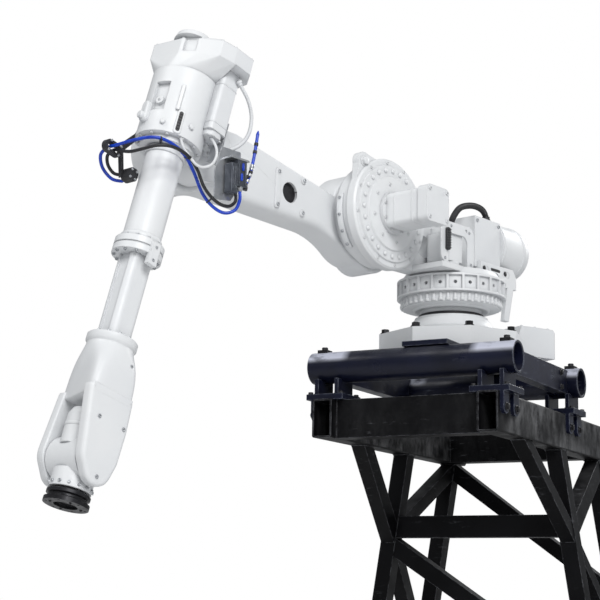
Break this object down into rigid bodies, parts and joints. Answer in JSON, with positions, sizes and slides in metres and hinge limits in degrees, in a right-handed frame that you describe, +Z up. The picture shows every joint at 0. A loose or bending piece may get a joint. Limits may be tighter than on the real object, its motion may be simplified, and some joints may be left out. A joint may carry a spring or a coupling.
{
  "type": "industrial robot arm on a steel stand",
  "caption": "White jointed industrial robot arm with a fork wrist and black tool flange, on round deck tubes over a braced dark steel trestle that bolts to the floor.",
  "frame": {"origin": "on the floor under the middle of the front sole plate", "axes": "+X towards the arm's working side, +Y to the stand's left, +Z up"},
  "size_m": [3.8002, 1.6556, 3.2784],
  "materials": {
    "arm_paint": "satin white paint",
    "stand_black": "scuffed semi-gloss black paint",
    "deck_navy": "scuffed gloss navy paint",
    "black_fasteners": "black oxide",
    "dark_plastic": "moulded black",
    "bracket_grey": "folded sheet",
    "block_grey": "dark anodised",
    "hose_blue": "glossy hose",
    "cable_black": "satin jacket",
    "flange_black": "black oxide, machined"
  },
  "bodies": {
    "stand": {"sole_plates": "stand_black", "legs": "stand_black", "front_tie": "stand_black", "cantilever_braces": "stand_black", "side_braces": "stand_black", "cross_braces": "stand_black", "side_beams": "stand_black", "cross_beams": "stand_black", "saddles": "deck_navy", "deck_tubes": "deck_navy", "tube_links": "deck_navy", "deck_plate": "deck_navy", "tube_pads": "black_fasteners", "foot_bolts": "black_fasteners", "foot_casting": "arm_paint", "cable_box": "arm_paint"},
    "turret": {"turret_ring": "arm_paint", "turret_casting": "arm_paint", "gearbox_2": "arm_paint", "motor_2": "arm_paint", "motor_1": "arm_paint", "balancer": "arm_paint", "balancer_bracket": "arm_paint"},
    "lower_arm_body": {"lower_arm": "arm_paint", "arm_plug": "dark_plastic", "motor_3": "arm_paint"},
    "upper_arm": {"arm_housing": "arm_paint", "gear_cover": "arm_paint", "motor_4": "arm_paint", "elbow_cover": "arm_paint", "hose_bracket": "bracket_grey", "connector_block": "block_grey", "hose_clamp": "dark_plastic", "blue_hose": "hose_blue", "black_cable": "cable_black"},
    "forearm": {"inner_tube": "arm_paint", "joint_ring": "arm_paint", "extension_tube": "arm_paint", "wrist_housing": "arm_paint", "prongs": "arm_paint"},
    "tilt": {"tilt_housing": "arm_paint"},
    "tool": {"tool_flange": "flange_black"}
  },
  "joints": [
    {"name": "axis_1", "type": "hinge", "parent": "stand", "child": "turret", "pos_m": [0.39, 0, 2.35], "axis": [0, 0, 1], "range_deg": [-166, 193]},
    {"name": "axis_2", "type": "hinge", "parent": "turret", "child": "lower_arm_body", "pos_m": [0.97293, -0.1421, 2.73], "axis": [0.2368, 0.9715, 0], "range_deg": [-127.5, 42.5]},
    {"name": "axis_3", "type": "hinge", "parent": "lower_arm_body", "child": "upper_arm", "pos_m": [2.21533, -0.44497, 2.78583], "axis": [-0.2368, -0.9715, 0], "range_deg": [-44, 166]},
    {"name": "axis_4", "type": "hinge", "parent": "upper_arm", "child": "forearm", "pos_m": [2.40154, -0.49036, 2.84297], "axis": [0.2776, -0.0677, -0.9583], "range_deg": [-300, 300]},
    {"name": "axis_5", "type": "hinge", "parent": "forearm", "child": "tilt", "pos_m": [2.84342, -0.59808, 1.31732], "axis": [0.2368, 0.9715, 0], "range_deg": [-120, 120]},
    {"name": "axis_6", "type": "hinge", "parent": "tilt", "child": "tool", "pos_m": [2.89893, -0.61161, 1.12566], "axis": [0.2776, -0.0677, -0.9583], "range_deg": [-300, 300]}
  ]
}
